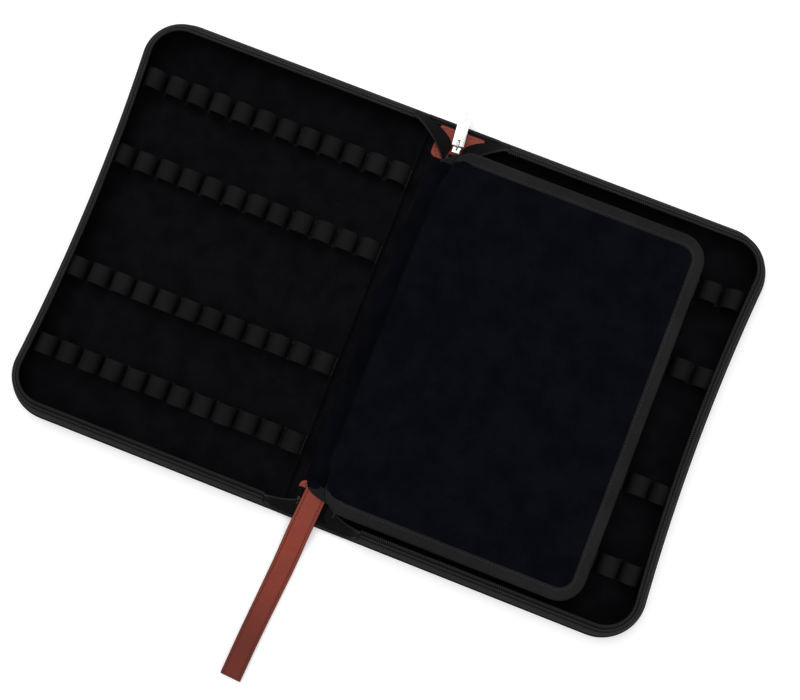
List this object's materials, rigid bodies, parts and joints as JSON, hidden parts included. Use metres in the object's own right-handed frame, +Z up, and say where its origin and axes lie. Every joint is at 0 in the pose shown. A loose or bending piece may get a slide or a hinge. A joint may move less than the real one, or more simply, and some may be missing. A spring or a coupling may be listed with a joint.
{
  "type": "pen case",
  "caption": "Zip-round folio case lying open: two walled trays with rows of elastic pen loops on a folding spine, a padded divider flap and a leather wrist strap.",
  "frame": {"origin": "middle of the spine's underside, on the surface that the open case lies on", "axes": "+X towards the right tray, +Y towards the zip slider, +Z up from the table"},
  "size_m": [0.504, 0.4593, 0.0263],
  "materials": {
    "leather": "satin reddish-brown smooth leather",
    "stiffener": "grey board",
    "foam": "thin black foam",
    "lining": "black suede cloth",
    "velvet": "blue-black velvet",
    "webbing": "black woven tape",
    "elastic": "black ribbed elastic",
    "coil": "black nylon coil",
    "nickel": "bright nickel plate"
  },
  "bodies": {
    "root": {"spine_cover": "leather", "spine_board": "stiffener", "spine_lining": "lining", "spine_edge_top": "webbing", "spine_edge_bottom": "webbing", "spine_patch_top": "leather", "spine_patch_bottom": "leather", "zip_slider": "nickel", "zip_tail": "webbing", "flap_web": "webbing", "strap_anchor": "leather", "right_zip_arm_upper": "webbing", "right_zip_arm_lower": "webbing", "left_zip_arm_upper": "webbing", "left_zip_arm_lower": "webbing", "right_zip_stop": "nickel", "left_zip_stop": "nickel"},
    "flap_root": {"flap_hinge_strip": "webbing"},
    "flap": {"flap_board": "stiffener", "flap_face_upper": "velvet", "flap_face_lower": "velvet", "flap_binding": "webbing"},
    "puller": {"zip_puller": "nickel"},
    "strap": {"wrist_strap": "leather"},
    "right_tray": {"right_cover": "leather", "right_board": "stiffener", "right_foam": "foam", "right_lining": "lining", "right_wall": "webbing", "right_piping": "webbing", "right_zip_tape": "webbing", "right_zip_coil": "coil", "right_loops_1_inner": "elastic", "right_loops_1_outer": "elastic", "right_loops_2_inner": "elastic", "right_loops_2_outer": "elastic", "right_loops_3_inner": "elastic", "right_loops_3_outer": "elastic", "right_loops_4_inner": "elastic", "right_loops_4_outer": "elastic"},
    "left_tray": {"left_cover": "leather", "left_board": "stiffener", "left_foam": "foam", "left_lining": "lining", "left_wall": "webbing", "left_piping": "webbing", "left_zip_tape": "webbing", "left_zip_coil": "coil", "left_loops_1_inner": "elastic", "left_loops_1_outer": "elastic", "left_loops_2_inner": "elastic", "left_loops_2_outer": "elastic", "left_loops_3_inner": "elastic", "left_loops_3_outer": "elastic", "left_loops_4_inner": "elastic", "left_loops_4_outer": "elastic"}
  },
  "joints": [
    {"name": "right_fold", "type": "hinge", "parent": "root", "child": "right_tray", "pos_m": [0.023, 0, 0.0012], "axis": [0, -1, 0], "range_deg": [0, 90], "deforming": ["right_zip_arm_upper", "right_zip_arm_lower"]},
    {"name": "left_fold", "type": "hinge", "parent": "root", "child": "left_tray", "pos_m": [-0.023, 0, 0.0012], "axis": [0, 1, 0], "range_deg": [0, 90], "deforming": ["left_zip_arm_upper", "left_zip_arm_lower"]},
    {"name": "flap_carry", "type": "hinge", "parent": "root", "child": "flap_root", "pos_m": [0.00855, 0, 0.01455], "axis": [0, -1, 0], "range_deg": [0, 90], "deforming": ["flap_web"]},
    {"name": "flap_turn", "type": "hinge", "parent": "flap_root", "child": "flap", "pos_m": [0, 0, 0.0231], "axis": [0, 1, 0], "range_deg": [-178, 0]},
    {"name": "puller_swing", "type": "hinge", "parent": "root", "child": "puller", "pos_m": [0, 0.144, 0.0102], "axis": [-1, 0, 0], "range_deg": [-115, 0]},
    {"name": "strap_swing", "type": "hinge", "parent": "root", "child": "strap", "pos_m": [-0.0053, -0.164, 0.0064], "axis": [0.9978, -0.0663, 0], "range_deg": [-85, 0]}
  ],
  "couplings": [
    {"joint": "flap_carry", "follows": "right_fold", "ratio": 1}
  ]
}
